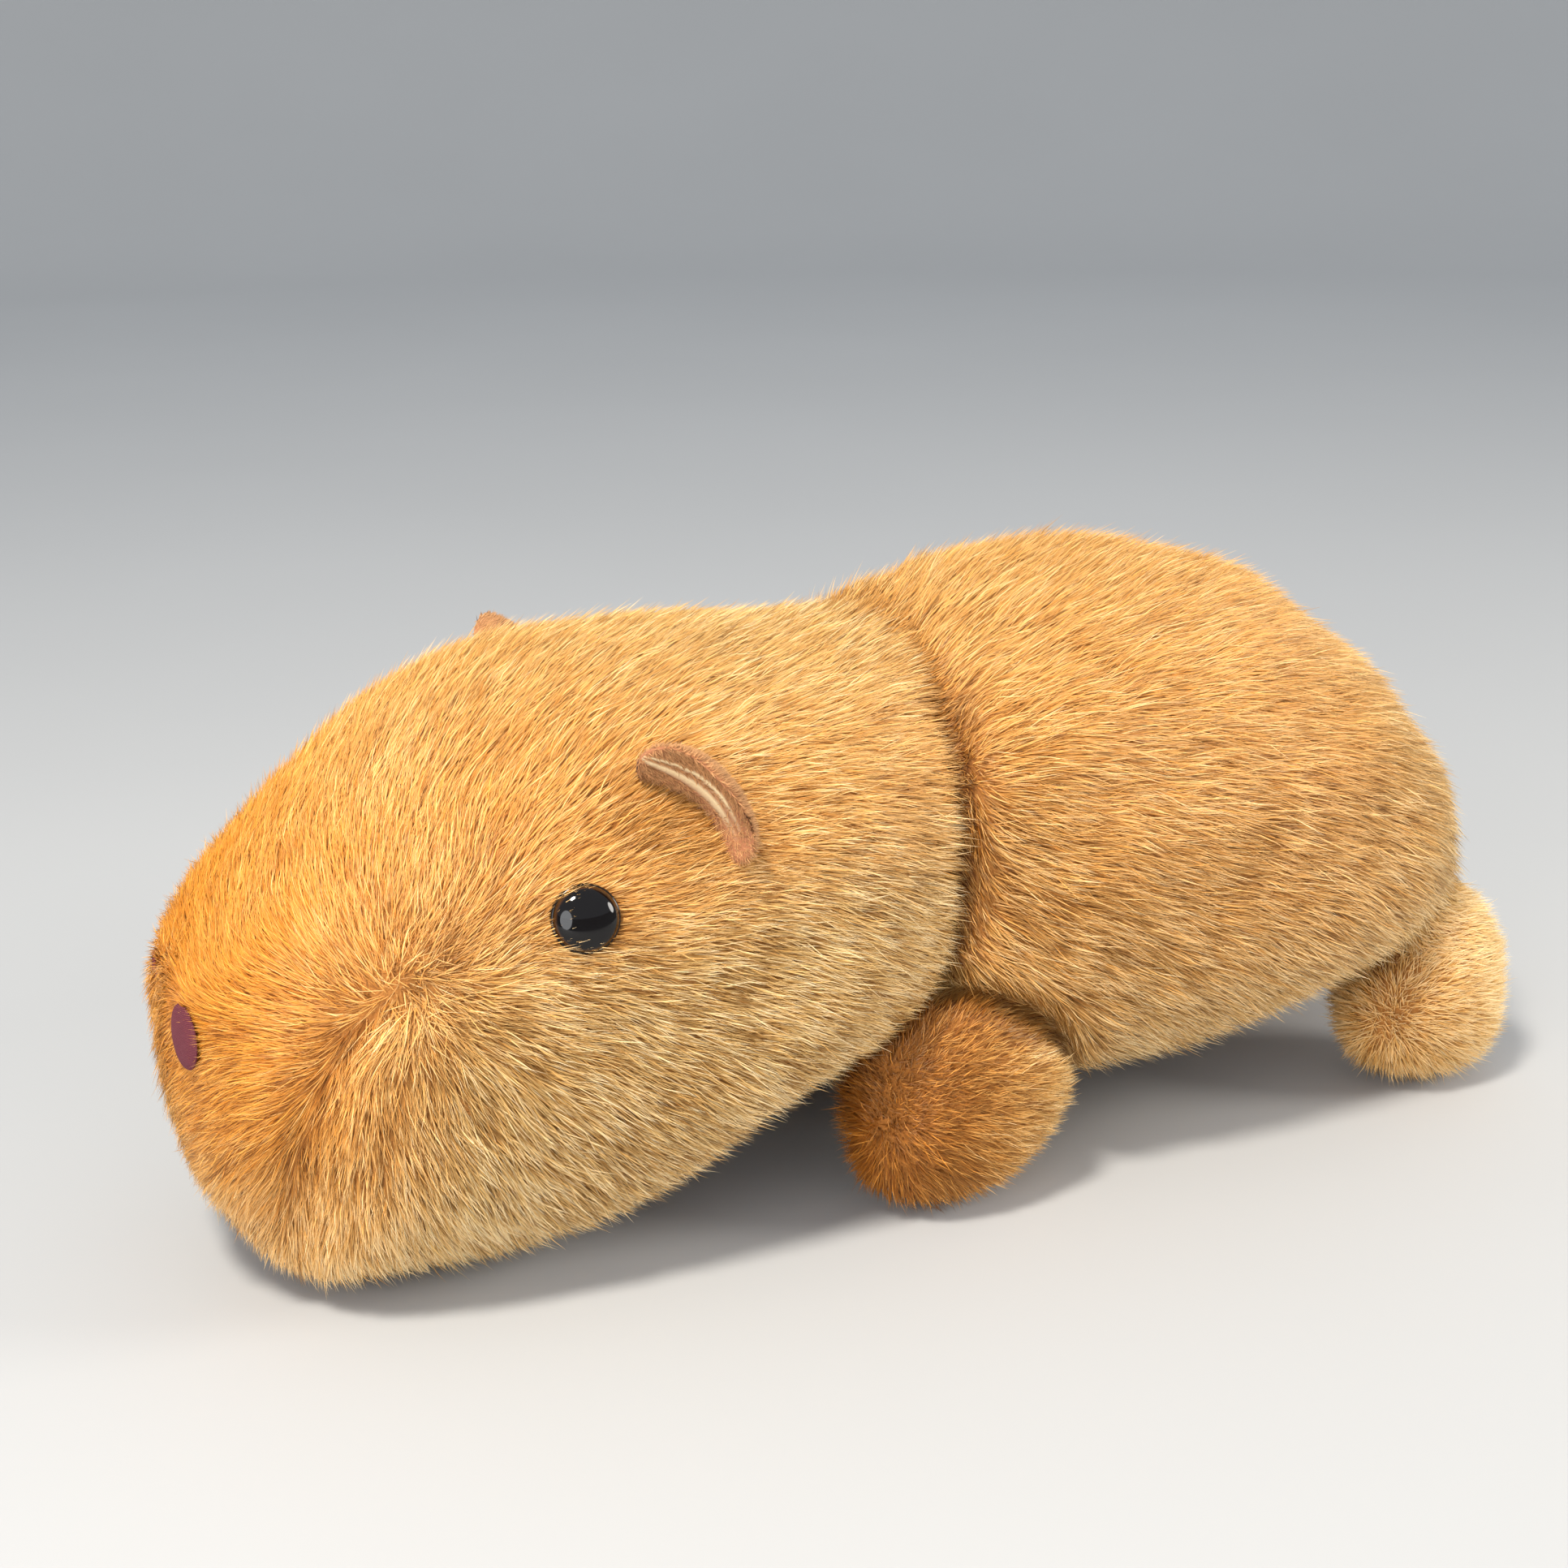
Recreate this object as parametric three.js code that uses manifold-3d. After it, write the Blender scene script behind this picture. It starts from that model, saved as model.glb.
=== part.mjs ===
// A stuffed plush capybara that lies low, with its chin on the floor and four short paws under it.
// Millimetres. The nose points along -Y, the toy's own left is +X, up is +Z, and the floor is Z = 0.
// Every surface here is the outside of the pile, so the sewn fabric lies one pile depth further in.
import * as THREE from "three";
import { mergeVertices } from "three/addons/utils/BufferGeometryUtils.js";
import Module from "manifold-3d";

const wasm = await Module();
wasm.setup();

// Driving dimensions of the toy
const NOSE_Y = -206; // front of the blunt muzzle
const RUMP_Y = 176; // back of the rump
const GAP = 0.3; // between pieces that meet
const FLAT_DEPTH = 1.5; // how far a rounded underside is pressed flat by the floor
const AROUND = 44; // sides of each ring of a lofted piece
const RINGS_PER_STATION = 4;
const SQUARENESS = 2.25; // exponent of the rounded cross-sections, where 2 is an ellipse

// Colours of the pile, the short velvet of the ears, the embroidery and the plastic eyes
const PLUSH = new THREE.MeshStandardMaterial({ color: 0xc98540, roughness: 0.95, metalness: 0 });
const VELVET = new THREE.MeshStandardMaterial({ color: 0xb07a52, roughness: 0.9, metalness: 0 });
const THREAD = new THREE.MeshStandardMaterial({ color: 0x6e3f45, roughness: 0.7, metalness: 0 });
const EYE_PLASTIC = new THREE.MeshStandardMaterial({ color: 0x0b0806, roughness: 0.08, metalness: 0 });

// The seam that joins head and body slants forwards as it goes down, in a furrow of the pile.
const NECK_SEAM = { top: [-6, 151.5], bottom: [-56, 36], side: [-12, 62, 92] };

// The head from the front of the muzzle to the neck seam. Each station gives the [y, z] of the
// outline's top and underside, and the [y, x, z] of its widest point at the side.
const HEAD_STATIONS = [
  { top: [NOSE_Y, 68], bottom: [NOSE_Y, 68], side: [NOSE_Y, 0, 68] },
  { top: [-202, 86], bottom: [-204, 48], side: [-200, 27, 67] },
  { top: [-190, 103], bottom: [-197, 24], side: [-188, 47, 64] },
  { top: [-168, 123], bottom: [-184, 5], side: [-167, 61, 61] },
  { top: [-137, 144.5], bottom: [-160, -FLAT_DEPTH], side: [-135, 69, 66] },
  { top: [-104, 155.5], bottom: [-128, -FLAT_DEPTH], side: [-100, 74, 74] },
  { top: [-66, 155], bottom: [-96, 9], side: [-64, 77, 82] },
  { top: [-34, 153], bottom: [-72, 26], side: [-34, 75, 90] },
  NECK_SEAM,
];

// The body from the neck seam to the back of the rump, with a low belly.
const BODY_STATIONS = [
  NECK_SEAM,
  { top: [18, 158.5], bottom: [-16, 20], side: [8, 73, 88] },
  { top: [44, 161], bottom: [30, 15], side: [36, 78, 84] },
  { top: [73, 161], bottom: [66, 16], side: [68, 80, 80] },
  { top: [103, 153], bottom: [98, 22], side: [99, 79, 77] },
  { top: [131, 134], bottom: [128, 32], side: [129, 73, 74] },
  { top: [154, 110.5], bottom: [153, 37], side: [153, 57, 70] },
  { top: [170, 85], bottom: [170, 38], side: [169, 36, 61] },
  { top: [RUMP_Y, 57], bottom: [RUMP_Y, 57], side: [RUMP_Y, 0, 57] },
];

// A paw is a rounded stub: the middle of the left one, its sizes, and how far its top leans back.
const FRONT_PAW = { x: 48, y: -6, halfWidth: 25, halfLength: 31, height: 72, lean: 6 };
const HIND_PAW = { x: 45, y: 152, halfWidth: 24, halfLength: 27, height: 60, lean: 2 };
const SQUARE_ENDS = 0.85; // exponent that fills out a paw's toe, heel and sole, where 1 is round
const PAW_RINGS = 14;
const PAW_AROUND = 22;
const PAW_SPREAD = 0.12; // how much broader the sole is than the middle

// A soft crease runs down each side of the muzzle, where the nose panel meets the cheek.
const CREASE_PATH = [
  new THREE.Vector3(57, -168, 102),
  new THREE.Vector3(56, -174, 68),
  new THREE.Vector3(46, -184, 32),
];
const CREASE_DEPTH = 4;
const CREASE_WIDTH = 10;
// A dimple is drawn in behind each crease, at the corner of the mouth.
const DIMPLE = new THREE.Vector3(67, -158, 80);
const DIMPLE_DEPTH = 3;
const DIMPLE_WIDTH = 11;

// Plastic eyes: a domed button on a straight rim, turned a little forwards and upwards
const EYE = { x: 70, y: -116, z: 106, radius: 8.6, sunk: 8, dome: 4.2, forwards: 0.2, upwards: 0.32 };
const EYE_SIDES = 24;

// Embroidered nostrils: an oval pad that is set in the front of the muzzle
const NOSTRIL = { x: 20.5, y: -202.4, z: 75, halfWidth: 5.5, halfHeight: 8, proud: 0.6, sunk: 4 };
const NOSTRIL_OUTWARDS = 0.4; // how far its face turns to the side
const NOSTRIL_UPWARDS = 0.15; // how far its face turns upwards

// An ear is a folded flap of velvet, sewn on along a slanting root.
const EAR = {
  front: new THREE.Vector3(54, -96, 138), // upper front end of the root
  back: new THREE.Vector3(69, -70, 114.5), // lower back end of the root
  stands: new THREE.Vector3(0.5, 0.1, 0.85), // the way the flap stands off the head
  reach: 16, // how far the flap stands off the head
  sunk: 9, // how far it runs into the head
  thickness: 9,
  curl: 7, // how far its rim bends over, outwards and forwards
  cup: 6, // how far its two ends bend the same way
};

// Turns a closed geometry into a solid that can be joined and cut.
function solidOf(geometry) {
  const bare = geometry.clone();
  bare.deleteAttribute("normal");
  bare.deleteAttribute("uv");
  const merged = mergeVertices(bare, 1e-4);
  return new wasm.Manifold(
    new wasm.Mesh({
      numProp: 3,
      vertProperties: new Float32Array(merged.attributes.position.array),
      triVerts: new Uint32Array(merged.index.array),
    }),
  );
}

// Makes a named mesh of the largest closed body in a solid.
function meshOf(name, solid, material) {
  const largest = solid
    .decompose()
    .reduce((best, piece) => (piece.volume() > best.volume() ? piece : best));
  const { vertProperties, triVerts } = largest.getMesh();
  const geometry = new THREE.BufferGeometry();
  geometry.setAttribute("position", new THREE.BufferAttribute(vertProperties, 3));
  geometry.setIndex(new THREE.BufferAttribute(triVerts, 1));
  const mesh = new THREE.Mesh(geometry, material);
  mesh.name = name;
  return mesh;
}

// The same closed surface moved outwards along its normals.
function swollen(geometry, by) {
  const copy = geometry.clone();
  copy.deleteAttribute("uv");
  copy.deleteAttribute("normal");
  const merged = mergeVertices(copy, 1e-4);
  merged.computeVertexNormals();
  const { position, normal } = merged.attributes;
  for (let i = 0; i < position.count; i += 1) {
    position.setXYZ(
      i,
      position.getX(i) + by * normal.getX(i),
      position.getY(i) + by * normal.getY(i),
      position.getZ(i) + by * normal.getZ(i),
    );
  }
  return solidOf(merged);
}

// Mirrors a geometry to the toy's right side, with its faces turned to point outwards again.
function mirrored(geometry) {
  const copy = geometry.clone();
  copy.scale(-1, 1, 1);
  const { index } = copy;
  for (let i = 0; i < index.count; i += 3) {
    const first = index.getX(i);
    index.setX(i, index.getX(i + 1));
    index.setX(i + 1, first);
  }
  return copy;
}

function signedPower(value, power) {
  return Math.sign(value) * Math.abs(value) ** power;
}

// Joins two rings of a body that runs along +Y, either of which may be a single point.
function joinRings(faces, ring, next) {
  for (let j = 0; j < AROUND; j += 1) {
    const i = (j + 1) % AROUND;
    if (ring.length === 1) {
      faces.push([ring[0], next[j], next[i]]);
    } else if (next.length === 1) {
      faces.push([ring[i], ring[j], next[0]]);
    } else {
      faces.push([ring[i], ring[j], next[i]], [ring[j], next[j], next[i]]);
    }
  }
}

// Closes an open end with a fan round its middle.
function capRing(points, faces, ring, isStart) {
  const middle = new THREE.Vector3();
  ring.forEach((index) => middle.add(new THREE.Vector3(...points[index])));
  middle.divideScalar(ring.length);
  points.push(middle.toArray());
  const hub = points.length - 1;
  ring.forEach((index, j) => {
    const following = ring[(j + 1) % ring.length];
    faces.push(isStart ? [hub, index, following] : [hub, following, index]);
  });
}

// A closed body of rounded cross-sections that follows four guide curves: top, underside and sides.
// An end whose station has no width closes in a point, and any other end is a cut face.
function loft(stations, shape = (point) => point) {
  const guide = (pick) => new THREE.CatmullRomCurve3(stations.map(pick));
  const top = guide((s) => new THREE.Vector3(0, ...s.top));
  const bottom = guide((s) => new THREE.Vector3(0, ...s.bottom));
  const side = guide((s) => new THREE.Vector3(s.side[1], s.side[0], s.side[2]));
  const steps = (stations.length - 1) * RINGS_PER_STATION;
  const points = [];
  const rings = [];
  for (let k = 0; k <= steps; k += 1) {
    const [t, b, s] = [top, bottom, side].map((curve) => curve.getPoint(k / steps));
    if (s.x < 1e-6) {
      rings.push([points.length]);
      points.push(s.toArray());
      continue;
    }
    rings.push(Array.from({ length: AROUND }, (_, j) => points.length + j));
    for (let j = 0; j < AROUND; j += 1) {
      const angle = (2 * Math.PI * j) / AROUND;
      const up = Math.sin(angle);
      const edge = up > 0 ? t : b;
      const point = new THREE.Vector3(
        s.x * signedPower(Math.cos(angle), 2 / SQUARENESS),
        s.y + (edge.y - s.y) * up * up,
        s.z + (edge.z - s.z) * Math.abs(up) ** (2 / SQUARENESS),
      );
      points.push(shape(point, new THREE.Vector3(0, s.y, s.z)).toArray());
    }
  }
  const faces = [];
  rings.slice(1).forEach((next, k) => joinRings(faces, rings[k], next));
  if (rings[0].length > 1) capRing(points, faces, rings[0], true);
  if (rings.at(-1).length > 1) capRing(points, faces, rings.at(-1), false);
  const geometry = new THREE.BufferGeometry();
  geometry.setAttribute("position", new THREE.Float32BufferAttribute(points.flat(), 3));
  geometry.setIndex(faces.flat());
  return geometry;
}

// Draws a point of the head towards its core near the muzzle creases and the dimples.
const creasePoints = new THREE.CatmullRomCurve3(CREASE_PATH).getPoints(20);
function pressFace(point, core) {
  const onLeft = new THREE.Vector3(Math.abs(point.x), point.y, point.z);
  const toCrease = Math.min(...creasePoints.map((p) => p.distanceTo(onLeft)));
  const toDimple = DIMPLE.distanceTo(onLeft);
  const depth =
    CREASE_DEPTH * Math.exp(-((toCrease / CREASE_WIDTH) ** 2)) +
    DIMPLE_DEPTH * Math.exp(-((toDimple / DIMPLE_WIDTH) ** 2));
  return point.clone().addScaledVector(core.clone().sub(point).normalize(), depth);
}

// The left paw of a pair: a rounded stub that stands on the floor and runs up into the body.
function pawGeometry({ x, y, halfWidth, halfLength, height, lean }) {
  const geometry = new THREE.SphereGeometry(1, PAW_AROUND, PAW_RINGS);
  geometry.rotateX(Math.PI / 2);
  const { position } = geometry.attributes;
  const halfHeight = (height + FLAT_DEPTH) / 2;
  for (let i = 0; i < position.count; i += 1) {
    const [u, v, w] = [position.getX(i), position.getY(i), position.getZ(i)];
    const spread = 1 + PAW_SPREAD * Math.max(0, -w);
    position.setXYZ(
      i,
      x + halfWidth * spread * u,
      y + halfLength * spread * signedPower(v, SQUARE_ENDS) + lean * w,
      halfHeight - FLAT_DEPTH + halfHeight * signedPower(w, SQUARE_ENDS),
    );
  }
  return geometry;
}

// The left eye: a domed plastic button on a straight rim, facing out of the head.
function eyeGeometry() {
  const { x, y, z, radius, sunk, dome, forwards, upwards } = EYE;
  const cap = new THREE.EllipseCurve(0, 0, radius, dome, 0, Math.PI / 2).getPoints(6);
  cap.at(-1).x = 0;
  const profile = [new THREE.Vector2(0, -sunk), new THREE.Vector2(radius, -sunk), ...cap];
  const geometry = new THREE.LatheGeometry(profile, EYE_SIDES);
  geometry.rotateZ(-Math.PI / 2);
  geometry.rotateY(-upwards);
  geometry.rotateZ(-forwards);
  geometry.translate(x, y, z);
  return geometry;
}

// The left nostril: an oval embroidered pad on the front of the muzzle.
function nostrilGeometry() {
  const { x, y, z, halfWidth, halfHeight, proud, sunk } = NOSTRIL;
  const profile = [
    new THREE.Vector2(0, -sunk),
    new THREE.Vector2(1, -sunk),
    new THREE.Vector2(1, 0),
    new THREE.Vector2(0.8, proud * 0.8),
    new THREE.Vector2(0, proud),
  ];
  const geometry = new THREE.LatheGeometry(profile, 20);
  geometry.rotateX(Math.PI);
  geometry.scale(halfWidth, 1, halfHeight);
  geometry.rotateX(-NOSTRIL_UPWARDS);
  geometry.rotateZ(NOSTRIL_OUTWARDS);
  geometry.translate(x, y, z);
  return geometry;
}

// The left ear: a thick flap whose rim and ends bend over, outwards and forwards.
function earGeometry() {
  const { front, back, stands, reach, sunk, thickness, curl, cup } = EAR;
  const along = back.clone().sub(front).normalize();
  const outward = stands.clone().addScaledVector(along, -stands.dot(along)).normalize();
  const over = new THREE.Vector3().crossVectors(outward, along).normalize();
  const root = front.clone().add(back).multiplyScalar(0.5);
  const halfRoot = front.distanceTo(back) / 2;
  const geometry = new THREE.SphereGeometry(1, 20, 14);
  const { position } = geometry.attributes;
  for (let i = 0; i < position.count; i += 1) {
    const [u, v, w] = [position.getX(i), position.getY(i), position.getZ(i)];
    const bend = curl * Math.max(0, v) ** 2 + cup * (u * u - 0.4);
    const point = root
      .clone()
      .addScaledVector(along, halfRoot * u)
      .addScaledVector(outward, (reach - sunk) / 2 + ((reach + sunk) / 2) * v)
      .addScaledVector(over, -(thickness / 2) * w - bend);
    position.setXYZ(i, ...point.toArray());
  }
  return geometry;
}

// Floor under the toy, which cuts the rounded undersides flat
const floorBox = new THREE.BoxGeometry(1000, 1000, 100);
floorBox.translate(0, 0, -50);
const floor = solidOf(floorBox);

const headShape = loft(HEAD_STATIONS, pressFace);
const bodyShape = loft(BODY_STATIONS);
bodyShape.translate(0, GAP, 0);
const grownHead = swollen(headShape, GAP);
const grownBody = swollen(bodyShape, GAP);

const toy = new THREE.Group();
let head = solidOf(headShape).subtract(floor);
for (const [side, place] of [
  ["left", (geometry) => geometry],
  ["right", mirrored],
]) {
  for (const [name, shape, material] of [
    ["eye", eyeGeometry(), EYE_PLASTIC],
    ["nostril", nostrilGeometry(), THREAD],
    ["ear", earGeometry(), VELVET],
  ]) {
    const placed = place(shape);
    head = head.subtract(swollen(placed, GAP));
    toy.add(meshOf(`${name}_${side}`, solidOf(placed), material));
  }
  for (const [name, size] of [
    ["front_paw", FRONT_PAW],
    ["hind_foot", HIND_PAW],
  ]) {
    const stub = solidOf(place(pawGeometry(size))).subtract(floor);
    toy.add(meshOf(`${name}_${side}`, stub.subtract(grownHead).subtract(grownBody), PLUSH));
  }
}
toy.add(meshOf("head", head, PLUSH));
toy.add(meshOf("body", solidOf(bodyShape).subtract(floor), PLUSH));

// The toy stands with the middle of its length over the origin.
const middle = new THREE.Box3().setFromObject(toy).getCenter(new THREE.Vector3());
toy.position.set(-middle.x, -middle.y, 0);

export default toy;
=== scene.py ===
"""A stuffed plush capybara lying on its chin and four short paws, with sewn fur, velvet ears,
plastic eyes and embroidered nostrils. It is in metres, with its nose towards -Y, its own left at
+X and the floor at Z = 0."""
import math

import bmesh
import bpy
import numpy as np
from mathutils import Matrix, Vector
from mathutils.bvhtree import BVHTree
from mathutils.kdtree import KDTree


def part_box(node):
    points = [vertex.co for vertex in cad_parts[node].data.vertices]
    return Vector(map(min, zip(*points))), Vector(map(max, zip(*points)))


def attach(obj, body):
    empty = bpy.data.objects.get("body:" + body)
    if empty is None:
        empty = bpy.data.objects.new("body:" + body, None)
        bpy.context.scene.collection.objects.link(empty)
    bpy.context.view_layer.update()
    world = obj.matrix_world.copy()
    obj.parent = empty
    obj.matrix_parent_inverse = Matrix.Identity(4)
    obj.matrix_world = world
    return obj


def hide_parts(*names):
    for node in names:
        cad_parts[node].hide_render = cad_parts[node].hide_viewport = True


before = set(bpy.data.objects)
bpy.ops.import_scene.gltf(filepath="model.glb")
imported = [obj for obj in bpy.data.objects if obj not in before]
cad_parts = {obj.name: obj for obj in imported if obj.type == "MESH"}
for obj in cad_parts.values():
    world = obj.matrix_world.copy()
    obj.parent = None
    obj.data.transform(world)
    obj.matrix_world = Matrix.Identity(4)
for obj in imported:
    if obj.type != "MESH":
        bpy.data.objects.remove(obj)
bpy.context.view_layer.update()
NOSE_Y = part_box("head")[0].y


# Sewn fur fabric
# The toy is a bag of faux fur, cut in mirrored panels and stuffed with loose polyester fibre.
# Head, body and paws are sewn together, so one fabric skin runs over all of them, and it lies
# one pile depth inside the outline of the coat.
FLESH = ["head", "body", "front_paw_left", "front_paw_right", "hind_foot_left", "hind_foot_right"]
TRIM = ["eye_left", "eye_right", "ear_left", "ear_right", "nostril_left", "nostril_right"]
PILE_DEPTH = 0.0046
SHALLOW_DEPTH = 0.0024
FABRIC_VOXEL = 0.0025
SOCKET_REACH = 0.0005
SEAM_OVERLAP = 0.0004
EYE_CLIP_REACH = 0.015
NOSTRIL_CLIP_REACH = 0.0085


def cad_mesh(node):
    """A CAD node's surface as a bmesh with its doubles merged."""
    surface = bmesh.new()
    surface.from_mesh(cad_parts[node].data)
    bmesh.ops.remove_doubles(surface, verts=surface.verts, dist=1e-6)
    return surface


def cad_tree(*nodes):
    """A search tree over the surfaces of several CAD nodes."""
    joined = bmesh.new()
    for node in nodes:
        joined.from_mesh(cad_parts[node].data)
    return BVHTree.FromBMesh(joined)


def place(x, from_nose, z):
    """A place on the toy in metres, from millimetres that are measured back from the nose."""
    return np.array((x * 0.001, NOSE_Y + from_nose * 0.001, z * 0.001))


def node_middle(node):
    """The middle of a CAD node's box."""
    low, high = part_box(node)
    return np.array((low + high) / 2)


def unit(vectors):
    """The vectors at a length of one."""
    return vectors / np.maximum(np.linalg.norm(vectors, axis=-1, keepdims=True), 1e-12)


def mirrored(points):
    """Points folded onto the toy's left side, as its panels are mirrored."""
    folded = np.array(points, float)
    folded[..., 0] = np.abs(folded[..., 0])
    return folded


def near(points, middle, reach):
    """One at a place on either side of the toy, falling softly to nought about one reach away."""
    gap = np.linalg.norm(mirrored(points) - middle, axis=-1)
    return np.exp(-((gap / reach) ** 2))


EYE_PLACE = node_middle("eye_left")
NOSTRIL_PLACE = node_middle("nostril_left")
WHORL_PLACE = place(59, 50, 89)
# The left nostril stands a little nearer to the middle than the right one.
NOSTRIL_SEATS = {"left": place(18.4, 3.2, 73.4), "right": place(-20.5, 3.6, 73.4)}


def pile_depth(points):
    """How far the fabric lies under the tips of the pile, which is short round eyes and nose."""
    eye = near(points, EYE_PLACE, EYE_CLIP_REACH)
    nostril = near(points, NOSTRIL_PLACE, NOSTRIL_CLIP_REACH)
    return PILE_DEPTH + (SHALLOW_DEPTH - PILE_DEPTH) * np.clip(eye + nostril, 0, 1)


def close_sockets(surface, nodes):
    """Takes out the pockets cut for eyes, ears and nostrils, and fills their mouths."""
    tree = cad_tree(*nodes)
    pocket = []
    for face in surface.faces:
        if tree.find_nearest(face.calc_center_median())[3] < SOCKET_REACH:
            pocket.append(face)
    bmesh.ops.delete(surface, geom=pocket, context="FACES")
    rim = [e for e in surface.edges if e.is_boundary]
    filled = bmesh.ops.holes_fill(surface, edges=rim, sides=0)["faces"]
    bmesh.ops.triangulate(surface, faces=filled)


fabric_mesh = bmesh.new()
for node in FLESH:
    piece = cad_mesh(node)
    if node == "head":
        close_sockets(piece, TRIM)
    piece.normal_update()
    for vertex in piece.verts:
        vertex.co += vertex.normal * SEAM_OVERLAP
    part_mesh = bpy.data.meshes.new(f"cut_{node}")
    piece.to_mesh(part_mesh)
    fabric_mesh.from_mesh(part_mesh)
fabric_data = bpy.data.meshes.new("plush_fabric")
fabric_mesh.to_mesh(fabric_data)
fabric = bpy.data.objects.new("plush_fabric", fabric_data)
bpy.context.scene.collection.objects.link(fabric)


def finish_shape(piece):
    """Applies a piece's modifiers to its mesh."""
    graph = bpy.context.evaluated_depsgraph_get()
    shaped = bpy.data.meshes.new_from_object(piece.evaluated_get(graph))
    piece.modifiers.clear()
    piece.data = shaped


remesh = fabric.modifiers.new("one skin", "REMESH")
remesh.mode = "VOXEL"
remesh.voxel_size = FABRIC_VOXEL
smooth = fabric.modifiers.new("soft seams", "SMOOTH")
smooth.factor = 0.5
smooth.iterations = 6
finish_shape(fabric)


def vertex_array(mesh, name, width=3, domain="vertices"):
    """One property of every vertex, or of another domain, as an array of rows."""
    values = np.zeros(len(getattr(mesh, domain)) * width, np.float32)
    getattr(mesh, domain).foreach_get(name, values)
    return values.reshape(-1, width).astype(float)


UNEVEN = 0.0009
FURROW_PULL = 0.0095
FURROW_WIDE = 0.0031
BULGE_OUT = 0.0034
BULGE_WIDE = 0.0130
PARTING_PULL = 0.0022
PARTING_WIDE = 0.0042
NECK_FROM_NOSE = 0.185
NECK_REACH = 0.05
NECK_TOP = 0.152
NECK_FADE = 0.026
HIND_REACH = 0.045
HIND_FADE = 0.010
FABRIC_LOWEST = 0.0012
# The parting on the left side of the muzzle, from the corner of the mouth down to the chin.
PARTING = [(59, 50, 91), (54, 38, 80), (51, 29, 64), (47, 24, 45), (40, 24, 24), (34, 25, 8)]
PARTING = np.array([place(*spot) for spot in PARTING])
# A slack fold over the shoulder, behind the neck seam.
FOLD = [(27, 216, 153), (34, 221, 152), (43, 228, 149), (53, 239, 144)]
FOLD = np.array([place(*spot) for spot in FOLD])
FOLD_PULL = 0.0018
FOLD_WIDE = 0.0055
flesh_trees = {node: cad_tree(node) for node in FLESH}


def from_line(points, line):
    """How far each point lies from a line on the left side, or its mirror image, in metres."""
    folded = mirrored(points)
    gaps = []
    for first, last in zip(line[:-1], line[1:]):
        share = np.clip((folded - first) @ (last - first) / np.sum((last - first) ** 2), 0, 1)
        gaps.append(np.linalg.norm(folded - first - share[:, None] * (last - first), axis=1))
    return np.min(gaps, axis=0)


def node_gaps(points):
    """The node nearest to each point, and how much further off the next node is."""
    trees = list(flesh_trees.values())
    gaps = np.array([[tree.find_nearest(Vector(p))[3] for tree in trees] for p in points])
    order = np.sort(gaps, axis=1)
    return np.array(FLESH)[gaps.argmin(axis=1)], order[:, 1] - order[:, 0]


def furrow(points, gaps, wide):
    """One along the seams of neck and paws. It fades on top of the neck and behind the hind feet."""
    top = np.clip((NECK_TOP - points[:, 2]) / NECK_FADE, 0, 1)
    hind_middle = node_middle("hind_foot_left")[1]
    is_hind = points[:, 1] > hind_middle - HIND_REACH
    back = np.clip((hind_middle - HIND_FADE - points[:, 1]) / HIND_FADE, 0, 1)
    return np.exp(-((gaps / wide) ** 2)) * top * np.where(is_hind, back, 1)


def ripple(points, size, seed):
    """A smooth value between about -1 and 1 that changes over the given size."""
    waves = np.random.default_rng(seed)
    total = np.zeros(len(points))
    for _ in range(5):
        wave = unit(waves.normal(size=3)) * 2 * math.pi / (size * waves.uniform(0.7, 1.4))
        total += np.sin(points @ wave + waves.uniform(0, 6.28))
    return total / 3


fabric_points = vertex_array(fabric.data, "co")
fabric_normals = vertex_array(fabric.data, "normal")
gaps = node_gaps(fabric_points)[1]
neck = np.abs(fabric_points[:, 1] - NOSE_Y - NECK_FROM_NOSE) < NECK_REACH
drawn_in = pile_depth(fabric_points) + UNEVEN * ripple(fabric_points, 0.050, 21)
drawn_in += FURROW_PULL * furrow(fabric_points, gaps, FURROW_WIDE)
drawn_in -= BULGE_OUT * furrow(fabric_points, gaps, BULGE_WIDE) * neck
drawn_in += PARTING_PULL * np.exp(-((from_line(fabric_points, PARTING) / PARTING_WIDE) ** 2))
drawn_in += FOLD_PULL * np.exp(-((from_line(fabric_points, FOLD) / FOLD_WIDE) ** 2))
fabric_points -= fabric_normals * drawn_in[:, None]
fabric_points[:, 2] = np.maximum(fabric_points[:, 2], FABRIC_LOWEST)
fabric.data.vertices.foreach_set("co", fabric_points.astype(np.float32).ravel())
relax = fabric.modifiers.new("relax", "SMOOTH")
relax.factor = 0.5
relax.iterations = 2
finish_shape(fabric)
fabric.data.shade_smooth()


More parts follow.
